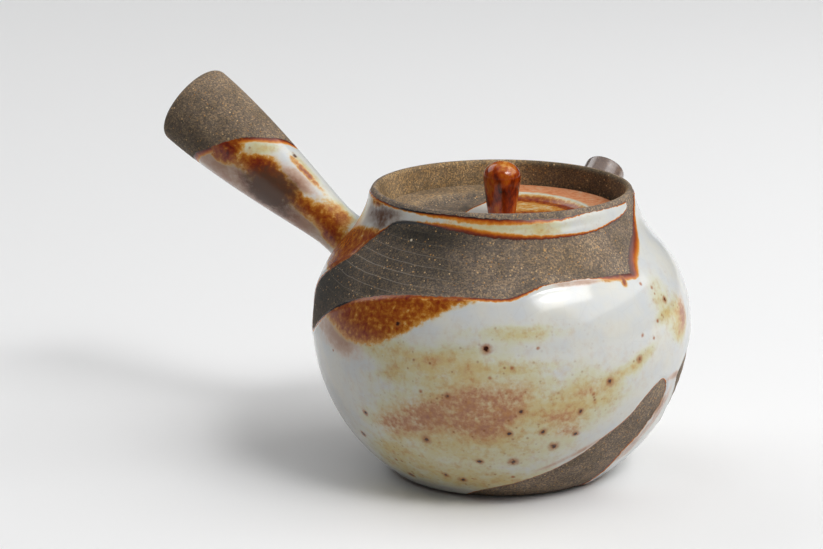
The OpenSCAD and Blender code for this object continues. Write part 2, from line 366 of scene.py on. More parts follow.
glaze_edge = np.full(pot_turn.shape, BARE)
skin = on_outside & (pot_height > SOLE_Z)
skin_turn, skin_z, skin_run = pot_turn[skin], pot_height[skin], pot_run[skin]
lip_run = skin_along(np.interp(skin_turn, LIP_LINE_TURN, LIP_LINE_Z))
glaze_edge[skin] = np.min([
    outline_distance(skin_turn, skin_z, WINDOW),
    outline_distance(skin_turn, skin_z, SWIPE),
    outline_distance(skin_turn, skin_z, SIDE_PATCH),
    lip_run - skin_run,
    skin_run - skin_along(FOOT_LINE_Z),
], axis=0)

# Colour that the firing gave, and some painted shade, as strokes for brushed with a height on the skin as
# their second value, or as closed outlines of (turn, height)

# Where the rust of an edge reaches further than elsewhere, and where less far
HOT_EDGE = [(60, 70.5, 7, 6, 0, 0.8), (52, 66, 6, 4, 0, 0.5), (46, 65, 6, 2.5, 0, 0.4),
            (-12, 78.5, 18, 4, 0, 0.25)]
COOL_EDGE = [(20, 65.2, 9, 2, 0, 1.0), (27, 66, 9, 3.5, 0, 1.0), (-45, 77, 14, 3.5, 0, 0.9),
             (50, 80, 18, 4, 0, 1.0), (-76, 64, 14, 9, 0, 0.9), (30, 14, 26, 14, 25, 0.6),
             (60, 24, 8, 14, 0, 1.0), (0, 81.6, 55, 1.0, 0, 0.5)]
# Where an edge burnt black
BURNT_EDGE = [(-42, 77.5, 14, 4, 0, 1.0), (-60, 53, 10, 4, 20, 0.9), (-14, 81.5, 46, 0.8, 0, 0.5)]
# Where the clay is darkened to charcoal grey: smoke greyed it, and these strokes add painted shade on the
# shaded left of the window and along its top edge. The lip is kept clear of it.
SMOKE_AND_SHADE = [(-78, 58, 32, 22, 0, 1.0), (-34, 75.5, 17, 3.8, 0, 1.0), (-34, 67, 14, 11, 0, 0.55)]
LIP_KEPT_CLEAR = [(-60, 83, 30, 3.5, 0, 0.8)]
# Where the clay is warmer, and where a rib scored it
WARM = [(24, 71, 14, 6, 0, 0.35)]
SCORED = [(-50, 66, 26, 9, 0, 1.0)]
# Where the glaze is thin, which gives a cream haze
THIN = [(-8, 38, 34, 15, 2, 0.34), (22, 34, 22, 7, 12, 0.34), (-22, 19, 28, 12, 0, 0.4),
        (5, 53.6, 14, 2.2, 0, 0.4), (10, 22, 20, 9, 4, 0.24), (-15, 42.5, 14, 4, 5, 0.4),
        (60, 57, 8, 9, 0, 0.3), (0, 79, 26, 3.5, 0, 0.42), (14, 79, 6, 3, 0, 0.5), (67, 47, 5, 4, -15, 0.6),
        (-24, 8, 24, 6, 0, 0.45), (2, 8, 14, 4, 10, 0.4), (-46, 8, 12, 6, 0, 0.3), (-42, 15, 6, 4, 0, 0.5),
        (-20, 45.5, 10, 2.2, 12, 0.5), (0, 44.2, 14, 1.6, 0, 0.5), (-33, 40.5, 5, 1.7, 15, 0.3),
        (-35, 46.4, 9, 3, 0, 0.6), (60, 52.5, 5, 2, 10, 0.5), (-14, 31, 20, 9, 4, 0.4),
        (18, 32, 14, 6, 6, 0.4), (41, 41, 10, 2.2, 25, 0.5), (68, 49.5, 5, 6, -15, 0.5),
        (150, 40, 30, 8, 8, 0.5), (-140, 34, 26, 7, -6, 0.45), (120, 60, 18, 4, 0, 0.4),
        (-170, 20, 30, 5, 0, 0.4)]
# Where it is thinner still and turned salmon
SALMON = [(18.4, 29.4, 7, 3, 0, 0.7), (21, 25, 5, 2.5, 10, 0.6), (26, 36.4, 6, 2, 8, 0.55),
          (71, 50, 4, 6, -15, 0.8), (41, 41, 7, 1.4, 25, 0.3), (6, 44, 4, 1.2, 0, 0.3),
          (-18, 45, 6, 1.2, 12, 0.25), (160, 38, 18, 4.5, 8, 0.6), (-150, 32, 14, 4, -6, 0.5)]
SALMON_PATCH = [(-42, 25), (-29, 32.5), (-20, 35), (-13, 39), (-3, 39.6), (8, 38.7), (7.5, 32), (4, 26.7),
                (-3, 22.5), (-17, 24), (-29.5, 21.5), (-39, 21.5)]
# Where it is pink, and where it is dark: at the left end of the neck strip, brown along its edges with
# painted shade over the glaze there
PINK = [(-57, 47, 12, 4.5, -20, 1.0), (-66, 47, 7, 6, 0, 0.5), (-12, 62.5, 14, 1.2, 0, 0.4),
        (62.5, 24, 2.6, 8, -20, 1.0), (55, 13, 3, 6, -25, 0.9), (65, 33.4, 5, 1.1, 0, 1.0),
        (30, 18.5, 20, 1.0, 33, 0.6), (27, 64.6, 8, 1.0, 0, 0.8)]
DARK_AND_SHADE = [(-60, 77.8, 13, 5, 0, 0.65)]
# Where it took iron from the clay: strokes, a patch below the window and a strip at the handle's joint
IRON = [(-68, 80.5, 5, 1.6, 0, 0.5), (-92, 76, 6, 6, 0, 0.45), (44.3, 63.2, 1.2, 1.8, 0, 0.7),
        (40, 64.4, 5, 1.0, 0, 0.5)]
RUST_PATCH = [(-67.5, 51.4), (-60.3, 48.9), (-53.6, 46.8), (-46.2, 46.4), (-40, 47), (-34, 49.4),
              (-27.7, 52.7), (-21.6, 55.9), (-15.8, 58.8), (-8, 61.5), (-13, 64), (-30, 63), (-45, 60.5),
              (-58, 56.5)]
JOINT_STRIP = [(-97, 62), (-97, 67), (-81, 71.5), (-66, 73.4), (-58, 73.4), (-63, 69), (-69, 64), (-76, 60)]


def on_skin(strokes):
    """Field of strokes on the whole grid. A stroke's second value is a height on the pot's outside."""
    placed = [(turn, skin_along(height), *rest) for turn, height, *rest in strokes]
    return np.where(on_outside, brushed(pot_turn, pot_run, pot_radius, placed), 0)


def in_patch(points, past, fade, most):
    """Field of a closed outline of (turn, height).

    It is 0 where a place is past mm or more outside the outline, gains 1 in each fade mm inwards, and stays
    at most.
    """
    field = np.zeros(pot_turn.shape)
    field[skin] = np.clip((past - outline_distance(skin_turn, skin_z, points)) / fade, 0, most)
    return field


# Width of the rust along an edge of the glaze, what hot strokes add, what cool ones take off, and the least
RUST_REACH = 1.4
HOT_REACH = 5.0
COOL_REACH = 1.25
LEAST_REACH = 0.3
BURNT_WIDTH = 0.8
# Score lines climb this much in each degree of turn
SCORE_SLANT = 0.035
# Painted shade on the inside of the wall, as turn, half width and strength: at the back right, fainter at the
# left
BACK_SHADE_TURN, BACK_SHADE_HALF, BACK_SHADE = 128, 44, 0.7
LEFT_SHADE_TURN, LEFT_SHADE_HALF, LEFT_SHADE = -92, 22, 0.35
from_back = ((pot_turn - BACK_SHADE_TURN + 180) % 360 - 180) / BACK_SHADE_HALF
from_left = (pot_turn - LEFT_SHADE_TURN) / LEFT_SHADE_HALF
inside_shade = BACK_SHADE * np.exp(-(from_back**4)) + LEFT_SHADE * np.exp(-(from_left**2))
rust_reach = RUST_REACH + HOT_REACH * on_skin(HOT_EDGE) - COOL_REACH * on_skin(COOL_EDGE)
pot_fields = {
    "glaze_edge": glaze_edge,
    "rust_reach": np.maximum(rust_reach, LEAST_REACH),
    "thin": on_skin(THIN),
    "pink": on_skin(PINK),
    "salmon": np.maximum(in_patch(SALMON_PATCH, past=4.5, fade=11, most=0.7), on_skin(SALMON)),
    "rust": np.max([
        in_patch(RUST_PATCH, past=1.8, fade=6, most=0.6),
        in_patch(JOINT_STRIP, past=1.5, fade=4, most=0.6),
        on_skin(IRON),
    ], axis=0),
    "dark": on_skin(DARK_AND_SHADE),
    "burnt": np.exp(-((np.maximum(glaze_edge, 0) / BURNT_WIDTH) ** 2)) * on_skin(BURNT_EDGE),
    "warm": np.where(on_outside, on_skin(WARM), 1.0),
    "smoked": np.where(on_outside, on_skin(SMOKE_AND_SHADE) * (1 - on_skin(LIP_KEPT_CLEAR)), inside_shade),
    "score": np.where(on_outside, pot_run + SCORE_SLANT * pot_turn, 0),
    "scored": on_skin(SCORED),
}

# Glaze stands proud of the clay and gathers in a bead along its edge. The wheel left shallow rings in the
# clay, which are fainter on the inside.
GLAZE_T = 0.25
EDGE_RUN = 1.2
EDGE_START = 0.3
BEAD_T = 0.18
BEAD_AT = 1.6
BEAD_HALF = 0.9
RING_DEPTH = 0.05
RING_SPACING = 3.1
RINGS_FROM_Z = 3.0
INSIDE_SHARE = 0.3
glazed = np.clip(glaze_edge / EDGE_RUN + EDGE_START, 0, 1)
relief = GLAZE_T * glazed**2 * (3 - 2 * glazed) + BEAD_T * np.exp(-((glaze_edge - BEAD_AT) / BEAD_HALF) ** 2)
rings = np.sin(2 * np.pi * pot_run / RING_SPACING) * (pot_run > skin_along(RINGS_FROM_Z))
relief += RING_DEPTH * rings * (1 - glazed)
relief[~on_outside] *= INSIDE_SHARE
slope_r, slope_z = follow(pot_run, np.gradient(pot_line, pot_along, axis=0), pot_along)
pot_points = turned_points(pot_turn, pot_radius + relief * slope_z, pot_height - relief * slope_r)
pot_body = make_piece("pot_body_glazed", pot_points, *shell_faces(pot_turn.shape, outlet), pot_fields)


def linear(code):
    """Linear colour, with alpha, of an sRGB hex code such as #d4d3cb."""
    part = np.array([int(code[k:k + 2], 16) for k in (1, 3, 5)]) / 255
    return (*np.where(part <= 0.04045, part / 12.92, ((part + 0.055) / 1.055) ** 2.4).tolist(), 1.0)


# Sockets of a Mix node that is set to mix colours: its two colours and its result
COLOUR_A, COLOUR_B, COLOUR_OUT = 6, 7, 2


def add(tree, kind, inputs=None, stops=None, **settings):
    """Adds a shader node with its settings, and gives its outputs.

    inputs sets or joins its sockets by name or place. stops are a ramp's (position, hex code) pairs.
    """
    made = tree.nodes.new("ShaderNode" + kind)
    for name, value in settings.items():
        setattr(made, name, value)
    for key, value in (inputs or {}).items():
        if isinstance(value, bpy.types.NodeSocket):
            tree.links.new(value, made.inputs[key])
        else:
            made.inputs[key].default_value = value
    if stops:
        ramp = made.color_ramp.elements
        while len(ramp) < len(stops):
            ramp.new(0.5)
        for element, (position, code) in zip(ramp, stops):
            element.position, element.color = position, linear(code)
    return made.outputs


def per_mm(size):
    """Scale of a texture whose features are about this many millimetres apart."""
    return 1 / (size * MM)


def new_material(name):
    """An empty material and its node tree."""
    material = bpy.data.materials.new(name)
    material.use_nodes = True
    material.node_tree.nodes.clear()
    return material, material.node_tree


# A clear coat is the skin of fine clay on a surface that was rubbed smooth
COAT_ROUGHNESS = 0.2


def finish_material(tree, colour, roughness, height, coat=0.0):
    """Ends a material in a ceramic shader, with a height in mm as bump, under a clear coat if it has one."""
    bump = add(tree, "Bump", {"Height": height, "Distance": MM, "Strength": 1.0})[0]
    shader = add(tree, "BsdfPrincipled", {
        "Base Color": colour, "Roughness": roughness, "Normal": bump, "IOR": 1.5,
        "Coat Weight": coat, "Coat Roughness": COAT_ROUGHNESS,
    })[0]
    add(tree, "OutputMaterial", {"Surface": shader})


# Sandy stoneware, fired in reduction: a grey-brown body, matt and gritty, of grains that are each a little
# darker or paler, with golden and pale sand at the surface. Each sand is (spacing, least chance, radius over
# spacing, colours).
CLOUD = 9.0
GRIT = 0.38
GRIT_DEPTH = 0.08
SAND_RISE = 0.05
SANDS = [(0.9, 0.25, 0.34, [(0.1, "#8f6432"), (0.5, "#b98a4e"), (0.9, "#d3b283")]),
         (3.2, 0.75, 0.16, [(0.2, "#cf9448"), (0.6, "#e6c88f"), (0.9, "#f0e6d2")])]


def sandy_clay(tree, place):
    """Colour and height in mm of the bare clay: slow clouds, fine grit, and two sizes of sand grain.

    The field warm turns the grey-brown body to the warmer brown of clay that the flame reached less, and the
    field smoked darkens it to charcoal grey, both for clay that took up carbon and as painted shade.
    """
    cloud = add(tree, "TexNoise", {"Vector": place, "Scale": per_mm(CLOUD), "Detail": 3.0})[0]
    colour = add(tree, "ValToRGB", {"Fac": cloud}, [(0.35, "#94887d"), (0.5, "#ab9d93"),
                                                    (0.65, "#beb0a5")])[0]
    brown = add(tree, "ValToRGB", {"Fac": cloud}, [(0.35, "#bba079"), (0.65, "#e4caa4")])[0]
    for field, tone in [("warm", brown), ("smoked", linear("#423e37"))]:
        share = add(tree, "Attribute", attribute_name=field)["Fac"]
        colour = add(tree, "Mix", {"Factor": share, COLOUR_A: colour, COLOUR_B: tone},
                     data_type="RGBA")[COLOUR_OUT]
    grit = add(tree, "TexVoronoi", {"Vector": place, "Scale": per_mm(GRIT)})
    tone = add(tree, "SeparateColor", {"Color": grit["Color"]})["Red"]
    shade = add(tree, "ValToRGB", {"Fac": tone}, [(0.0, "#8b8781"), (0.5, "#b0aba4"), (0.75, "#d0c2a9"),
                                                  (1.0, "#f4e2c2")])[0]
    colour = add(tree, "Mix", {"Factor": 1.0, COLOUR_A: colour, COLOUR_B: shade}, data_type="RGBA",
                 blend_type="MULTIPLY")[COLOUR_OUT]
    height = add(tree, "Math", {0: grit["Distance"], 1: -GRIT_DEPTH}, operation="MULTIPLY")[0]
    for spacing, chance, largest, stops in SANDS:
        sand = add(tree, "TexVoronoi", {"Vector": place, "Scale": per_mm(spacing)})
        pick = add(tree, "SeparateColor", {"Color": sand["Color"]})
        size = add(tree, "MapRange", {"Value": pick["Red"], "From Min": chance, "To Max": largest})[0]
        inside = add(tree, "Math", {0: size, 1: sand["Distance"]}, operation="SUBTRACT")[0]
        grain = add(tree, "MapRange", {"Value": inside, "From Max": 0.1})[0]
        tone = add(tree, "ValToRGB", {"Fac": pick["Green"]}, stops)[0]
        colour = add(tree, "Mix", {"Factor": grain, COLOUR_A: colour, COLOUR_B: tone},
                     data_type="RGBA")[COLOUR_OUT]
        height = add(tree, "Math", {0: grain, 1: SAND_RISE, 2: height}, operation="MULTIPLY_ADD")[0]
    return colour, height


# Iron spots that burnt through the glaze, as (turn, height, radius of the rust halo)
IRON_SPOTS = [(-4.2, 49.5, 1.7), (-15.4, 35.7, 1.3), (-23.7, 36.3, 0.7), (-47.2, 25.8, 1.3),
              (-55, 17.2, 1.4), (-59.3, 41.5, 0.5), (-24.2, 21.4, 1.7), (-6.9, 15.4, 1.4),
              (-41.3, 5.8, 1.3), (-21.5, 9.1, 1.2), (-15, 7.8, 1.6), (-42.8, 11.1, 0.7), (4.5, 15.6, 1.8),
              (17.4, 20.2, 1.8), (24.1, 23.8, 1.3), (13.2, 25.4, 1.4), (33.5, 38.3, 1.7), (44.3, 42.8, 1.3),
              (28, 35.3, 0.7), (5, 9.8, 0.7), (2.7, 25.1, 1.3), (3.2, 44.4, 0.7), (10.7, 49.6, 0.6),
              (51.4, 61.7, 0.7), (56, 60, 0.7), (56.2, 58.4, 0.5), (60.6, 56, 1.3), (56.5, 52.7, 0.5),
              (53.8, 51.6, 0.7), (45.9, 49.2, 0.7), (50.8, 47.5, 0.6), (-30.6, 57.5, 0.7), (-32, 53.8, 1.3),
              (-33, 51.5, 0.6), (-46.7, 47.6, 0.6), (-3, 41.6, 0.7), (6.1, 31.9, 1.2), (24.4, 30.6, 1.3),
              (130, 52, 1.4), (152, 36, 1.6), (170, 24, 1.3), (-165, 44, 1.5), (-142, 28, 1.6),
              (-120, 52, 1.2), (-108, 20, 1.4), (98, 54, 1.3)]
spots = [(skin_point(turn, height) * MM, radius * MM) for turn, height, radius in IRON_SPOTS]
# Spots larger than this burnt black in the middle
CORE_FROM = 1.15
# A distance in radii at which a spot no longer shows
NO_SPOT = 9.0
# Sizes of the patterns in the glaze: the plates between its hair cracks, a crack's inner and outer half
# width, fine and coarse unevenness, streaks of its flow, and the clusters and single specks of its freckles
CRACKLE = 6.0
CRACK_INNER, CRACK_OUTER = 0.05, 0.15
FINE = 1.4
COARSE = 7.0
STREAK = 4.0
CLUSTER = 2.2
SPECK = 1.6
# How far the fine unevenness moves the edge of the glaze in all, and how far the coarse one moves score lines
RAGGED = 1.1
SCORE_WANDER = 0.8
# Half width of a score line, and how strongly the painted highlight along it shows
SCORE_HALF = 0.16
SCORE_HIGHLIGHT = 0.6
# Roughness of the white glaze, of the rusty glaze and of the clay
GLOSSY, SATIN, MATT = 0.13, 0.27, 0.82


# White ash glaze over iron-rich stoneware, fired in a reducing kiln: glossy, milky and slightly grey where
# thick, cream, ochre and then salmon or ruddy where thin, amber to dark rust where it took iron from the
# clay, with spots of iron
def ash_glaze(tree, place, fine, coarse, edge_rust):
    """Colour of the glaze, and how satin it is.

    Each layer is a field on the mesh, what makes it uneven, the values at which the layer starts to show and
    covers, and a ramp from which the value picks the colour. The unevenness is 1 on average and multiplies a
    field, so nothing shows where the field is 0. It is cloudy and drawn out by the flow, or fine and mottled
    for rust. The thinner the glaze, the more specks of iron freckle it. Along its edges the glaze is as rusty
    as edge_rust says, and a patch of rust hides that line.
    """
    flow = add(tree, "Mapping", {"Vector": place, "Scale": (0.45, 0.45, 1.3)})[0]
    streak = add(tree, "TexNoise", {"Vector": flow, "Scale": per_mm(STREAK), "Detail": 3.0})[0]
    uneven, mottle = -0.55, -0.25
    for noise, weight in [(fine, 0.8), (coarse, 1.4), (streak, 0.9)]:
        uneven = add(tree, "Math", {0: noise, 1: weight, 2: uneven}, operation="MULTIPLY_ADD")[0]
    for noise, weight in [(fine, 1.8), (coarse, 0.7)]:
        mottle = add(tree, "Math", {0: noise, 1: weight, 2: mottle}, operation="MULTIPLY_ADD")[0]
    cluster = add(tree, "TexNoise", {"Vector": place, "Scale": per_mm(CLUSTER), "Detail": 4.0,
                                     "Roughness": 0.65})[0]
    cluster = add(tree, "MapRange", {"Value": cluster, "From Min": 0.48, "From Max": 0.72, "To Max": 1.1})[0]
    speck = add(tree, "TexVoronoi", {"Vector": place, "Scale": per_mm(SPECK)})
    chance = add(tree, "SeparateColor", {"Color": speck["Color"]})["Red"]
    size = add(tree, "MapRange", {"Value": chance, "From Min": 0.3, "To Max": 0.36})[0]
    speck = add(tree, "Math", {0: size, 1: speck["Distance"]}, operation="SUBTRACT")[0]
    speck = add(tree, "MapRange", {"Value": speck, "From Max": 0.24, "To Max": 1.3})[0]
    colour = add(tree, "ValToRGB", {"Fac": coarse}, [(0.35, "#cdd0d1"), (0.65, "#d6d5cd")])[0]
    crack = add(tree, "TexVoronoi", {"Vector": place, "Scale": per_mm(CRACKLE)},
                feature="DISTANCE_TO_EDGE")["Distance"]
    crack = add(tree, "MapRange", {"Value": crack, "From Min": CRACK_INNER / CRACKLE, "To Min": 0.06,
                                   "From Max": CRACK_OUTER / CRACKLE, "To Max": 0.0})[0]
    colour = add(tree, "Mix", {"Factor": crack, COLOUR_A: colour, COLOUR_B: linear("#a39f94")},
                 data_type="RGBA")[COLOUR_OUT]
    layers = [
        ("thin", uneven, 0.06, 0.36, [(0.15, "#d6d6ca"), (0.3, "#d0cfb6"), (0.5, "#cbc298"), (0.7, "#c9b47c"),
                                      (0.9, "#c2a172"), (1.0, "#ba946c")]),
        ("salmon", mottle, 0.12, 0.85, [(0.2, "#cdae7d"), (0.45, "#c59a6a"), (0.7, "#b47d57"),
                                        (1.0, "#9c684f")]),
        ("ruddy", mottle, 0.15, 0.7, [(0.3, "#dcb08a"), (0.7, "#dc966c"), (1.0, "#c87a4e")]),
        ("pink", uneven, 0.15, 0.6, [(0.3, "#ceb8a8"), (0.65, "#bb9e8b"), (1.0, "#a88068")]),
        ("rust", mottle, 0.12, 0.36, [(0.2, "#d3bd88"), (0.34, "#c89244"), (0.46, "#b06a1c"),
                                      (0.58, "#984c0a"), (0.68, "#8a3c04"), (0.8, "#7c2403"),
                                      (1.0, "#4a1203")]),
        ("dark", uneven, 0.15, 0.8, [(0.3, "#6a2a10"), (0.6, "#5c3824"), (0.9, "#573a28")]),
        ("edge", None, 0.05, 0.3, [(0.1, "#dcc792"), (0.3, "#d08c34"), (0.5, "#b95c0e"), (0.72, "#7c2c06"),
                                   (1.0, "#361406")]),
        ("burnt", uneven, 0.15, 0.55, [(0.2, "#3a1c10"), (0.6, "#16110e")]),
    ]
    satin = 0.0
    for name, factor, low, high, stops in layers:
        if name == "edge":
            value = edge_rust
        else:
            field = add(tree, "Attribute", attribute_name=name)["Fac"]
            value = add(tree, "Math", {0: field, 1: factor}, operation="MULTIPLY")[0]
        share = add(tree, "MapRange", {"Value": value, "From Min": low, "From Max": high},
                    interpolation_type="SMOOTHSTEP")[0]
        if name == "rust":
            without_rust = add(tree, "MapRange", {"Value": value, "From Min": 0.6, "From Max": 0.4})[0]
        if name == "edge":
            share = add(tree, "Math", {0: share, 1: without_rust}, operation="MULTIPLY")[0]
        tone = add(tree, "ValToRGB", {"Fac": value}, stops)[0]
        colour = add(tree, "Mix", {"Factor": share, COLOUR_A: colour, COLOUR_B: tone},
                     data_type="RGBA")[COLOUR_OUT]
        if name == "thin":
            freckles = [add(tree, "Math", {0: value, 1: kind}, operation="MULTIPLY")[0]
                        for kind in (cluster, speck)]
        if name == "salmon":
            for freckle, code in zip(freckles, ("#b67c3e", "#8e5524")):
                colour = add(tree, "Mix", {"Factor": freckle, COLOUR_A: colour, COLOUR_B: linear(code)},
                             data_type="RGBA")[COLOUR_OUT]
        if name in ("rust", "dark", "edge"):
            satin = add(tree, "Math", {0: satin, 1: share}, operation="MAXIMUM")[0]
    halo_at, core_at = NO_SPOT, NO_SPOT
    for centre, radius in spots:
        away = add(tree, "VectorMath", {0: place, 1: centre}, operation="DISTANCE")["Value"]
        away = add(tree, "Math", {0: away, 1: radius}, operation="DIVIDE")[0]
        halo_at = add(tree, "Math", {0: away, 1: halo_at}, operation="MINIMUM")[0]
        if radius > CORE_FROM * MM:
            core_at = add(tree, "Math", {0: away, 1: core_at}, operation="MINIMUM")[0]
    for away, far, near, most, code in [(halo_at, 1.9, 0.9, 0.85, "#a05a22"),
                                        (core_at, 1.15, 0.8, 1.0, "#36140a")]:
        ragged = add(tree, "Math", {0: fine, 1: 1.2, 2: away}, operation="MULTIPLY_ADD")[0]
        share = add(tree, "MapRange", {"Value": ragged, "From Min": far, "From Max": near, "To Max": most},
                    interpolation_type="SMOOTHSTEP")[0]
        colour = add(tree, "Mix", {"Factor": share, COLOUR_A: colour, COLOUR_B: linear(code)},
                     data_type="RGBA")[COLOUR_OUT]
    return colour, satin


def dipped_stoneware():
    """The material of the pot, handle and lid: clay where the glaze edge is below 0, and glaze above it."""
    material, tree = new_material("ash_glaze_on_sandy_stoneware")
    place = add(tree, "TexCoord")["Object"]
    fine = add(tree, "TexNoise", {"Vector": place, "Scale": per_mm(FINE), "Detail": 4.0, "Roughness": 0.6})[0]
    coarse = add(tree, "TexNoise", {"Vector": place, "Scale": per_mm(COARSE), "Detail": 4.0})[0]
    edge, reach, score, scored = (add(tree, "Attribute", attribute_name=name)["Fac"]
                                  for name in ("glaze_edge", "rust_reach", "score", "scored"))
    edge = add(tree, "Math", {0: fine, 1: RAGGED, 2: edge}, operation="MULTIPLY_ADD")[0]
    edge = add(tree, "Math", {0: edge, 1: RAGGED / 2}, operation="SUBTRACT")[0]
    clay, clay_height = sandy_clay(tree, place)
    # Pale score lines: a painted highlight on the lit edge of each scored groove
    score = add(tree, "Math", {0: coarse, 1: SCORE_WANDER, 2: score}, operation="MULTIPLY_ADD")[0]
    wave = add(tree, "Math", {0: score, 1: RING_SPACING / 2}, operation="PINGPONG")[0]
    line = add(tree, "MapRange", {"Value": wave, "From Min": SCORE_HALF, "From Max": 0.0,
                                  "To Max": SCORE_HIGHLIGHT}, interpolation_type="SMOOTHSTEP")[0]
    line = add(tree, "Math", {0: line, 1: scored}, operation="MULTIPLY")[0]
    clay = add(tree, "Mix", {"Factor": line, COLOUR_A: clay, COLOUR_B: linear("#b0a494")},
               data_type="RGBA")[COLOUR_OUT]
    ratio = add(tree, "Math", {0: edge, 1: reach}, operation="DIVIDE")[0]
    edge_rust = add(tree, "MapRange", {"Value": ratio, "To Min": 1.0, "To Max": 0.0})[0]
    glaze, satin = ash_glaze(tree, place, fine, coarse, edge_rust)
    cover = add(tree, "MapRange", {"Value": edge, "From Min": -0.1, "From Max": 0.2},
                interpolation_type="SMOOTHSTEP")[0]
    colour = add(tree, "Mix", {"Factor": cover, COLOUR_A: clay, COLOUR_B: glaze},
                 data_type="RGBA")[COLOUR_OUT]
    gloss = add(tree, "MapRange", {"Value": satin, "To Min": GLOSSY, "To Max": SATIN})[0]
    roughness = add(tree, "Mix", {"Factor": cover, "A": MATT, "B": gloss}, data_type="FLOAT")[0]
    bare = add(tree, "Math", {0: 1.0, 1: cover}, operation="SUBTRACT")[0]
    height = add(tree, "Math", {0: clay_height, 1: bare}, operation="MULTIPLY")[0]
    finish_material(tree, colour, roughness, height)
    return material


dipped = dipped_stoneware()
pot_body.data.materials.append(dipped)
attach(pot_body, "pot")
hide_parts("pot_body")

# Spout
# A short thrown tube of the same clay, left bare and rubbed smooth while damp, flared at its root and luted
# with slip over the hole in the shoulder. Its bore narrows from the hole to the mouth.
SPOUT_LEN = 22.0
SPOUT_TIP_R = 6.1
SPOUT_ROOT_R = 12.5
SPOUT_BORE_R = 4.2
SPOUT_COLUMNS = 120
# How far the root of a luted piece is pressed into what carries it
PRESSED_IN = 0.3
# How far below the skin the search for the seat of a luted piece starts
SEEK_FROM = 20.0
# How far the round shoulder falls away under the edge of the spout's root
spout_drop = SPOUT_ROOT_R**2 / (2 * SHOULDER_R)


def cubic(a, b, c, d, count=40):
    """Points on a cubic curve from a to d that leaves a towards b and reaches d from c."""
    share = np.linspace(0, 1, count)[:, None]
    rest = 1 - share
    a, b, c, d = (np.array(point, float) for point in (a, b, c, d))
    return rest**3 * a + 3 * rest**2 * share * b + 3 * rest * share**2 * c + share**3 * d


def luted_tube(name, stretches, columns, start, way, fields):
    """A tube with a wall, turned about a way that starts inside the pot, whose root follows the pot's skin.

    The half outline of (radius, distance past the root) runs up the outside, over the lip and down the bore,
    and the mesh joins its end to its start. A point that would lie deeper than PRESSED_IN below the skin is
    moved out to there along the way. fields is a function that gives the named fields from the turn about the
    way, 0 on top, the distance, the radius, and whether a point is on the outside.
    """
    line, along, rows = half_outline(stretches)
    turn, run = turned_grid(rows, columns)
    radius, distance = follow(run, line, along)
    root = skin_distance(start, way)
    top = np.array([0, 0, 1]) - way[2] * way
    top /= np.linalg.norm(top)
    side = np.cross(way, top)
    angle = np.radians(turn)
    spoke = np.cos(angle)[..., None] * top + np.sin(angle)[..., None] * side
    axis_point = start + (root - SEEK_FROM) * way
    seat = skin_distance(axis_point + radius[..., None] * spoke, way, 2 * SEEK_FROM)
    distance = np.maximum(distance, seat - SEEK_FROM - PRESSED_IN)
    points = start + radius[..., None] * spoke + (root + distance)[..., None] * way
    point = np.arange(points.shape[0] * columns).reshape(-1, columns)
    above, beside = np.roll(point, -1, axis=0), np.roll(point, -1, axis=1)
    quads = np.stack([point, beside, np.roll(above, -1, axis=1), above], -1).reshape(-1, 4)
    values = fields(turn, distance, radius, run < along[-1] / 2)
    return make_piece(name, points, quads, np.zeros((0, 3), int), values)


spout_lip = (SPOUT_TIP_R - SPOUT_BORE_R) / 2
spout_lip_at = SPOUT_LEN - spout_lip
spout_outside = cubic([SPOUT_ROOT_R, -spout_drop], [(SPOUT_ROOT_R + SPOUT_TIP_R) / 2, 0],
                      [SPOUT_TIP_R, SPOUT_LEN / 2], [SPOUT_TIP_R, spout_lip_at])
spout_bore = cubic([SPOUT_BORE_R, spout_lip_at], [SPOUT_BORE_R, SPOUT_LEN / 4],
                   [OUTLET_R, 0], [OUTLET_R, -spout_drop])
spout = luted_tube("spout_burnished", [
    (spout_outside, 0.6),
    (arc([SPOUT_TIP_R - spout_lip, spout_lip_at], spout_lip, 0, 180), 0.3),
    (spout_bore, 0.8),
    ([[OUTLET_R, -spout_drop], [SPOUT_ROOT_R, -spout_drop]], 1.0),
], SPOUT_COLUMNS, spout_start, spout_way, lambda turn, distance, radius, outer: {})


# The same stoneware, smoothed with a damp finger: a slip of fine clay closes over the sand and takes a sheen
SLIP_CLOUD = 4.0
SLIP_SHARE = 0.75
SAND_LEFT = 0.3


def burnished_clay():
    """The material of the spout."""
    material, tree = new_material("burnished_stoneware")
    place = add(tree, "TexCoord")["Object"]
    clay, clay_height = sandy_clay(tree, place)
    cloud = add(tree, "TexNoise", {"Vector": place, "Scale": per_mm(SLIP_CLOUD), "Detail": 3.0})[0]
    slip = add(tree, "ValToRGB", {"Fac": cloud}, [(0.35, "#66514a"), (0.65, "#806b61")])[0]
    colour = add(tree, "Mix", {"Factor": SLIP_SHARE, COLOUR_A: clay, COLOUR_B: slip},
                 data_type="RGBA")[COLOUR_OUT]
    height = add(tree, "Math", {0: clay_height, 1: SAND_LEFT}, operation="MULTIPLY")[0]
    roughness = add(tree, "MapRange", {"Value": cloud, "From Min": 0.3, "From Max": 0.7,
                                       "To Min": 0.2, "To Max": 0.32})[0]
    finish_material(tree, colour, roughness, height, coat=1.0)
    return material


spout.data.materials.append(burnished_clay())
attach(spout, "pot")
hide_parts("spout")


# Strainer
# A small pierced dome of the same clay, luted inside the wall over the hole behind the spout. It stays as its
# solid and only gets the bare clay.
def bare_stoneware():
    """The material of the strainer: the clay as it came from the wheel."""
    material, tree = new_material("sandy_stoneware")
    clay, clay_height = sandy_clay(tree, add(tree, "TexCoord")["Object"])
    roughness = add(tree, "MapRange", {"Value": clay_height, "From Max": 0.3,
                                       "To Min": 0.9, "To Max": 0.7})[0]
    finish_material(tree, clay, roughness, clay_height)
    return material


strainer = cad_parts["strainer"]
strainer.data.materials.clear()
strainer.data.materials.append(bare_stoneware())

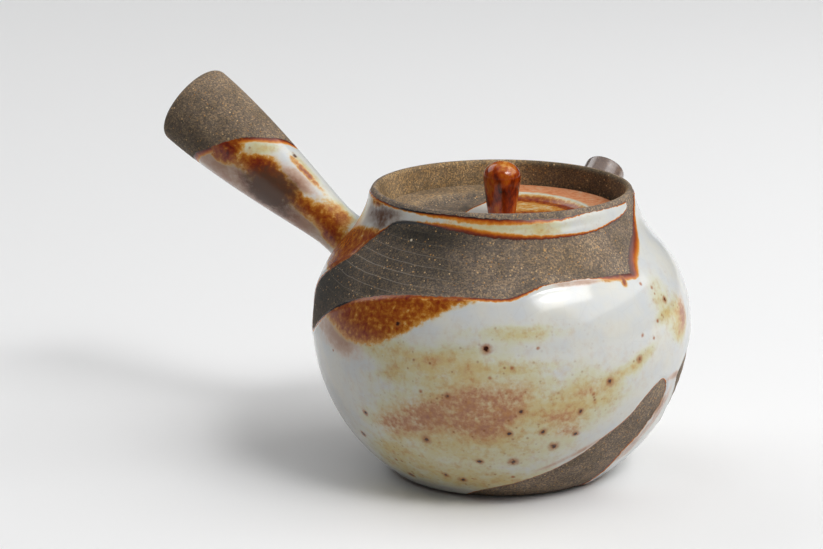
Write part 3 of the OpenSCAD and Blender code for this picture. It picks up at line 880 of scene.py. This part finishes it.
# Handle
# A hollow tube thrown by itself, flared at its root and swelling to an open end, luted to the shoulder at the
# side. It was dipped root first, so the outer third is bare, and the line of the dip slants round it.
HANDLE_BEARING = 180.0
HANDLE_RISE = 32.4
HANDLE_AXIS_Z = 28.4
HANDLE_LEN = 68.0
HANDLE_END_R = 12.9
HANDLE_WAIST_R = 6.75
HANDLE_WAIST_AT = 7.5
HANDLE_ROOT_R = 10.0
HANDLE_WALL = 3.0
HANDLE_COLUMNS = 160
DIP_TURN = [-180, -120, -88, -53, -23, 0, 17, 60, 120, 180]
DIP_AT = [57, 54.2, 49.3, 44.3, 38.9, 36.4, 34.4, 36, 47, 57]
DIP_RUST_TURN, DIP_RUST_REACH = [-60, -30], [2.8, 3.0]
HANDLE_WARM = 0.2
handle_way = rising_way(HANDLE_BEARING, HANDLE_RISE)
handle_start = np.array([0, 0, HANDLE_AXIS_Z])
handle_drop = HANDLE_ROOT_R**2 / (2 * SHOULDER_R)
handle_lip = HANDLE_WALL / 2
handle_lip_at = HANDLE_LEN - handle_lip
handle_swell = handle_lip_at - HANDLE_WAIST_AT
handle_flare = cubic([HANDLE_ROOT_R, -handle_drop], [HANDLE_WAIST_R, 0],
                     [HANDLE_WAIST_R, HANDLE_WAIST_AT / 2], [HANDLE_WAIST_R, HANDLE_WAIST_AT])
handle_grip = cubic([HANDLE_WAIST_R, HANDLE_WAIST_AT], [HANDLE_WAIST_R, HANDLE_WAIST_AT + handle_swell / 10],
                    [HANDLE_END_R, handle_lip_at - handle_swell * 2 / 5], [HANDLE_END_R, handle_lip_at])
handle_bore = np.vstack([handle_flare, handle_grip])[::-1] - [HANDLE_WALL, 0]

# Strokes on the handle, as (turn from the top, distance from the wall, ...). Turns below 0 face the camera.
# The pink stroke at turn -42 and distance 23, over a wipe of the rust, is a painted highlight: the lamps'
# reflection on the dark glaze.
HANDLE_STROKES = {
    "thin": [(-46, 38, 6, 2.4, -39, 0.8), (-40, 9, 4, 5, 0, 0.4), (-8, 24, 2, 8, 0, 0.5),
             (-22, 7, 4, 5, 0, 0.6), (80, 22, 6, 12, 0, 0.5)],
    "rust": [(-66, 27, 6, 20, 0, 0.6), (-70, 34, 4, 5, 0, 0.6), (-80, 45, 5.5, 4.5, 0, 0.7),
             (-92, 47, 4, 4, 0, 0.6), (-15, 24, 1.3, 7, 0, 0.6), (-74, 15, 3, 4, 0, 0.4),
             (-42, 9, 4, 5, 0, 0.25), (-26, 6, 3, 4, 0, 0.3), (-84, 5, 4, 6, 0, 0.75),
             # The wipe at (-42, 23) clears the rust under the painted highlight
             (110, 30, 6, 12, 20, 0.6), (-46, 38, 6, 2, -39, -1.0), (-42, 23, 2.6, 8, 0, -0.6),
             (-114, 46, 4, 8, 0, -0.8), (-118, 14, 4, 9, 0, -0.9)],
    "dark": [(-96, 28, 7, 12, 0, 0.95), (-62, 25, 3.5, 7, 0, 0.45), (-6, 29.8, 0.8, 0.8, 0, 1.0)],
    # The stroke at (-42, 23) is a painted highlight
    "pink": [(-106, 43, 9, 13, 0, 1.0), (-112, 14, 6, 11, 0, 1.0), (-42, 23, 3.5, 9, 0, 0.8),
             (-150, 30, 6, 20, 0, 0.9), (170, 25, 7, 16, 0, 0.7)],
}
# Painted shade on the lower side of the handle's bare end
HANDLE_UNDER_SHADE = [(-125, 58, 14, 20, 0, 0.6)]


def handle_fields(turn, distance, radius, outer):
    """Fields of the handle: the slanting dip line, its strokes of colour with a painted highlight among them,
    and painted shade on the lower side of its bare end.
    """
    dip = np.interp(turn, DIP_TURN, DIP_AT)
    fields = {name: np.where(outer, brushed(turn, distance, radius, strokes), 0)
              for name, strokes in HANDLE_STROKES.items()}
    fields["glaze_edge"] = np.where(outer, dip - distance, BARE)
    fields["rust_reach"] = np.interp(turn, DIP_RUST_TURN, DIP_RUST_REACH)
    fields["warm"] = np.full(turn.shape, HANDLE_WARM)
    fields["smoked"] = brushed(turn, distance, radius, HANDLE_UNDER_SHADE)
    return fields


handle = luted_tube("handle_glazed", [
    (handle_flare, 0.5),
    (handle_grip, 0.6),
    (arc([HANDLE_END_R - handle_lip, handle_lip_at], handle_lip, 0, 180), 0.4),
    (handle_bore, 1.2),
    ([[HANDLE_ROOT_R - HANDLE_WALL, -handle_drop], [HANDLE_ROOT_R, -handle_drop]], 1.0),
], HANDLE_COLUMNS, handle_start, handle_way, handle_fields)
handle.data.materials.append(dipped)
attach(handle, "pot")
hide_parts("handle")

# Lid
# A thrown disc that lies on the ledge in the neck, with a ring round a shallow dish and a flange underneath
# that keeps it there. One side was dipped, so glaze covers the right of it. A small hole lets out the steam.
LID_R = 34.2
LID_TOP = 75.7
LID_EDGE_R = 1.1
RING_FALL = 0.5
DISH_R = 23.5
DISH_RUN = 4.0
DISH_Z = 73.5
PLATE_Z = 70.5
FLANGE_R = 30.2
FLANGE_IN = 27.8
FLANGE_Z = 66.6
VENT_R = 1.5
VENT_REACH = 15.0
VENT_MARGIN = 6.0
VENT_TURN = 0.0
LID_COLUMNS = 320
ring_z = LID_TOP - RING_FALL
# Corners of the lid from the middle of its underside out and up to its edge, with the spacing of rows to each
lid_corners = [(0, PLATE_Z, 0), (VENT_REACH + VENT_MARGIN, PLATE_Z, 0.3), (FLANGE_IN, PLATE_Z, 1.2),
               (FLANGE_IN, FLANGE_Z, 0.6), (FLANGE_R, FLANGE_Z, 0.4), (FLANGE_R, SEAT_Z, 0.6),
               (LID_R, SEAT_Z, 0.6), (LID_R, LID_TOP - LID_EDGE_R, 0.4)]
lid_line, lid_along, lid_rows = half_outline([
    *(([start[:2], end[:2]], end[2]) for start, end in zip(lid_corners[:-1], lid_corners[1:])),
    (arc([LID_R - LID_EDGE_R, LID_TOP - LID_EDGE_R], LID_EDGE_R, 0, 90), 0.3),
    ([[LID_R - LID_EDGE_R, LID_TOP], [DISH_R + DISH_RUN / 2, ring_z]], 0.5),
    (cubic([DISH_R + DISH_RUN / 2, ring_z], [DISH_R, ring_z],
           [DISH_R, DISH_Z], [DISH_R - DISH_RUN / 2, DISH_Z]), 0.3),
    ([[DISH_R - DISH_RUN / 2, DISH_Z], [0, DISH_Z]], 0.3),
], passes=4)
lid_turn, lid_run = turned_grid(lid_rows, LID_COLUMNS)
lid_radius = np.interp(lid_run, lid_along, lid_line[:, 0])
lid_rim_along = lid_along[np.argmax(lid_line[:, 1])]
row_radius = np.interp(lid_rows, lid_along, lid_line[:, 0])
vent_column = np.argmin(abs(lid_turn[0] - VENT_TURN))
on_top = lid_rows > lid_rim_along
vent = [(np.argmin(np.where(side, abs(row_radius - VENT_REACH), np.inf)), vent_column)
        for side in (on_top, ~on_top)]
for row, column in vent:
    lid_turn, lid_run = make_way(lid_turn, lid_run, lid_radius, row, column, VENT_R)
lid_radius, lid_height = follow(lid_run, lid_line, lid_along)
lid_points = turned_points(lid_turn, lid_radius, lid_height)

# Places on the lid as seen from the front: how far right of the middle, and how far behind it. The edge of
# the glaze crosses the lid left of the middle, leans to the right towards the back, and waves a little.
LID_EDGE_AT = -8.5
LID_EDGE_BACK = 10.0
LID_EDGE_LEAN = 0.3
LID_EDGE_WAVE = 0.8
LID_EDGE_WAVE_LEN = 4.0
LID_RUST_REACH = 1.0
rightward = lid_radius * np.sin(np.radians(lid_turn))
backward = -lid_radius * np.cos(np.radians(lid_turn))
lid_upper = lid_run > lid_along[np.argmax(lid_line[:, 0])]
lid_edge = rightward - LID_EDGE_AT - LID_EDGE_LEAN * (backward - LID_EDGE_BACK)
lid_edge += LID_EDGE_WAVE * np.sin(backward / LID_EDGE_WAVE_LEN)
# Shares of the lid: its ring and dish, its right half, a painted highlight along the ring's inner edge, where
# the glaze is left pale as a reflection of the lamps, the front of the dish and the dark line where the dish
# meets the ring
on_ring = np.clip((lid_radius - DISH_R) / 2, 0, 1)
in_dish = 1 - on_ring
right_half = np.clip((rightward + 2) / 5, 0, 1)
painted_ring_highlight = np.exp(-((lid_radius - DISH_R - 1.3) / 0.9) ** 2)
dish_front = np.clip((9 - backward) / 4, 0, 1)
dish_edge = np.exp(-((lid_radius - DISH_R + 1.8) / 1.8) ** 2)
lid_fields = {
    "glaze_edge": np.where(lid_upper, lid_edge, BARE),
    "rust_reach": np.full(lid_turn.shape, LID_RUST_REACH),
    "warm": 0.1 + 0.5 * on_ring,
    # Darker in the dish than on the ring: painted shade in the recessed dish
    "smoked": np.where(lid_upper, 0.46 - 0.36 * on_ring, 0),
    "thin": on_ring * (0.6 - 0.5 * painted_ring_highlight) + in_dish * right_half * 0.45,
    "salmon": on_ring * right_half * (0.6 - 0.55 * painted_ring_highlight),
    "ruddy": on_ring * right_half * (0.75 - 0.7 * painted_ring_highlight),
    "rust": right_half * ((0.34 + 0.3 * dish_front) * in_dish + 0.36 * dish_edge),
}
lid = make_piece("lid_glazed", lid_points, *shell_faces(lid_turn.shape, vent), lid_fields)
lid.data.materials.append(dipped)
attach(lid, "lid")
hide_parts("lid")

# Knob
# A small bud of clay turned by itself and luted to the middle of the dish. It was dipped in a thin coat of
# the same glaze, which fired to a clear amber over the dark clay.
KNOB_H = 16.0
KNOB_R = 5.3
KNOB_TOP_H = 4.4
KNOB_FOOT_R = 3.8
# How far along its tangents a cubic's middle points lie, for it to follow a quarter of an ellipse
ROUND_SHARE = 0.5523
KNOB_COLUMNS = 96
wide_z = KNOB_H - KNOB_TOP_H
knob_line, knob_along, knob_rows = half_outline([
    ([[0, -PRESSED_IN], [KNOB_FOOT_R, -PRESSED_IN]], 1.0),
    (cubic([KNOB_FOOT_R, 0], [KNOB_FOOT_R + (KNOB_R - KNOB_FOOT_R) / 3, wide_z / 3],
           [KNOB_R, wide_z * 3 / 4], [KNOB_R, wide_z]), 0.3),
    (cubic([KNOB_R, wide_z], [KNOB_R, wide_z + ROUND_SHARE * KNOB_TOP_H],
           [ROUND_SHARE * KNOB_R, KNOB_H], [0, KNOB_H]), 0.3),
], passes=2)
knob_turn, knob_run = turned_grid(knob_rows, KNOB_COLUMNS)
knob_radius, knob_height = follow(knob_run, knob_line, knob_along)
knob_points = turned_points(knob_turn, knob_radius, DISH_Z + knob_height)
knob_fields = {"height": knob_height / KNOB_H}
knob = make_piece("lid_knob_glazed", knob_points, *shell_faces(knob_turn.shape), knob_fields)


# Thin ash glaze over dark clay: clear amber to red-brown, glossy, with darker runs that flow down
RUNS = 2.4
SWELL = 3.0
SWELL_RISE = 0.05


def amber_glaze():
    """The material of the knob."""
    material, tree = new_material("amber_ash_glaze")
    place = add(tree, "TexCoord")["Object"]
    flow = add(tree, "Mapping", {"Vector": place, "Scale": (1, 1, 0.45)})[0]
    runs = add(tree, "TexNoise", {"Vector": flow, "Scale": per_mm(RUNS), "Detail": 5.0, "Roughness": 0.6})[0]
    height = add(tree, "Attribute", attribute_name="height")["Fac"]
    pale = add(tree, "MapRange", {"Value": height, "From Min": 0.72, "From Max": 1.0, "To Max": 0.2})[0]
    tone = add(tree, "Math", {0: runs, 1: pale}, operation="ADD")[0]
    colour = add(tree, "ValToRGB", {"Fac": tone}, [(0.3, "#260a04"), (0.45, "#782505"), (0.56, "#a44005"),
                                                   (0.68, "#b8620f"), (0.8, "#d09040")])[0]
    roughness = add(tree, "MapRange", {"Value": runs, "From Min": 0.3, "From Max": 0.7,
                                       "To Min": 0.1, "To Max": 0.18})[0]
    swell = add(tree, "TexNoise", {"Vector": place, "Scale": per_mm(SWELL), "Detail": 1.0})[0]
    swell = add(tree, "Math", {0: swell, 1: SWELL_RISE}, operation="MULTIPLY")[0]
    finish_material(tree, colour, roughness, swell)
    return material


knob.data.materials.append(amber_glaze())
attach(knob, "lid")
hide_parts("lid_knob")

# Floor
# A sheet of plain pale paper, wide enough that the camera sees nothing else. Seen straight or in a reflection
# it is a little paler than in the light that it throws back on the pot.
FLOOR_HALF = 4.0
corner = np.array([[-1, -1], [1, -1], [1, 1], [-1, 1]]) * FLOOR_HALF / MM
floor = make_piece("floor", np.column_stack([corner, np.zeros(4)]), np.array([[0, 1, 2, 3]]),
                   np.zeros((0, 3), int), {})
paper, paper_tree = new_material("matt_paper")
ray = add(paper_tree, "LightPath")
seen = add(paper_tree, "Math", {0: ray["Is Camera Ray"], 1: ray["Is Glossy Ray"]}, operation="MAXIMUM")[0]
seen = add(paper_tree, "Math", {0: seen, 1: ray["Is Transmission Ray"]}, operation="MAXIMUM")[0]
paper_colour = add(paper_tree, "Mix", {
    "Factor": seen, COLOUR_A: linear("#d2d0cd"), COLOUR_B: linear("#f0f0f0"),
}, data_type="RGBA")[COLOUR_OUT]
paper_shader = add(paper_tree, "BsdfPrincipled", {"Base Color": paper_colour, "Roughness": 0.95,
                                                  "Specular IOR Level": 0.0})[0]
add(paper_tree, "OutputMaterial", {"Surface": paper_shader})
floor.data.materials.append(paper)

# Camera
# It looks down on the pot from the front, at the photograph's angle, far enough off to flatten the view.
PHOTO_SIZE = np.array([823, 549])
AIM_PIXEL = np.array([501.3, 332.94])
AIM_Z = 39.0
CAMERA_BEARING = FRONT
CAMERA_RISE = 15.5
CAMERA_DISTANCE = 750.0
FOCAL_PIXELS = 2611.0
CAMERA_ROLL = 0.43
SENSOR = 36.0
back = rising_way(CAMERA_BEARING, CAMERA_RISE)
ahead = -back
right = np.cross(ahead, [0, 0, 1])
right /= np.linalg.norm(right)
upward = np.cross(right, ahead)
off = AIM_PIXEL - PHOTO_SIZE / 2
yaw = np.arctan2(off[0], FOCAL_PIXELS)
pitch = np.arctan2(off[1] * np.cos(yaw), FOCAL_PIXELS)
swung = ahead * np.cos(yaw) - right * np.sin(yaw)
swung_right = np.cross(swung, upward)
look = swung * np.cos(pitch) + upward * np.sin(pitch)
look_up = np.cross(swung_right, look)
roll = np.radians(CAMERA_ROLL)
camera_x = swung_right * np.cos(roll) + look_up * np.sin(roll)
camera_y = look_up * np.cos(roll) - swung_right * np.sin(roll)
camera_data = bpy.data.cameras.new("camera")
camera_data.sensor_width = SENSOR
camera_data.lens = FOCAL_PIXELS / PHOTO_SIZE[0] * SENSOR
camera = bpy.data.objects.new("camera", camera_data)
camera_place = np.eye(4)
camera_place[:3, 0], camera_place[:3, 1], camera_place[:3, 2] = camera_x, camera_y, -look
camera_place[:3, 3] = (np.array([0, 0, AIM_Z]) + CAMERA_DISTANCE * back) * MM
camera.matrix_world = camera_place.T.tolist()
bpy.context.scene.collection.objects.link(camera)
bpy.context.scene.camera = camera

# Light
# A wide softbox high on the right, one overhead, two panels at the front right, of which the smaller is the
# brighter, a weak fill from behind on the left, and dim surroundings. A lamp is its name, bearing and rise in
# degrees, distance, width and depth in metres, and power in watts.
AMBIENT = 0.12
SOFTBOXES = [("softbox", 24.0, 46.0, 1.6, 2.0, 1.2, 15.5),
             ("overhead", 29.0, 84.0, 4.5, 5.0, 5.0, 50.0),
             ("bright_panel", -18.0, 51.0, 2.0, 0.5, 0.3, 6.0),
             ("wide_panel", -12.0, 47.0, 2.0, 1.15, 0.45, 10.0),
             ("fill", 169.0, 40.0, 3.0, 2.5, 1.5, 23.0)]


def facing(way):
    """Rotation, as three axes, of a lamp that stands along a way from the pot and shines back at it."""
    across = np.cross([0, 0, 1], way)
    across /= np.linalg.norm(across)
    return np.column_stack([across, np.cross(way, across), way])


for name, bearing, rise, distance, width, depth, power in SOFTBOXES:
    lamp = bpy.data.lights.new(name, "AREA")
    lamp.shape = "RECTANGLE"
    lamp.size, lamp.size_y, lamp.energy = width, depth, power
    stand = bpy.data.objects.new(name, lamp)
    stand_place = np.eye(4)
    stand_place[:3, :3] = facing(rising_way(bearing, rise))
    stand_place[:3, 3] = rising_way(bearing, rise) * distance
    stand.matrix_world = stand_place.T.tolist()
    bpy.context.scene.collection.objects.link(stand)

world = bpy.data.worlds.new("studio")
world.use_nodes = True
world.node_tree.nodes["Background"].inputs["Color"].default_value = linear("#eef0f2")
world.node_tree.nodes["Background"].inputs["Strength"].default_value = AMBIENT
bpy.context.scene.world = world
bpy.context.scene.view_settings.view_transform = "Standard"
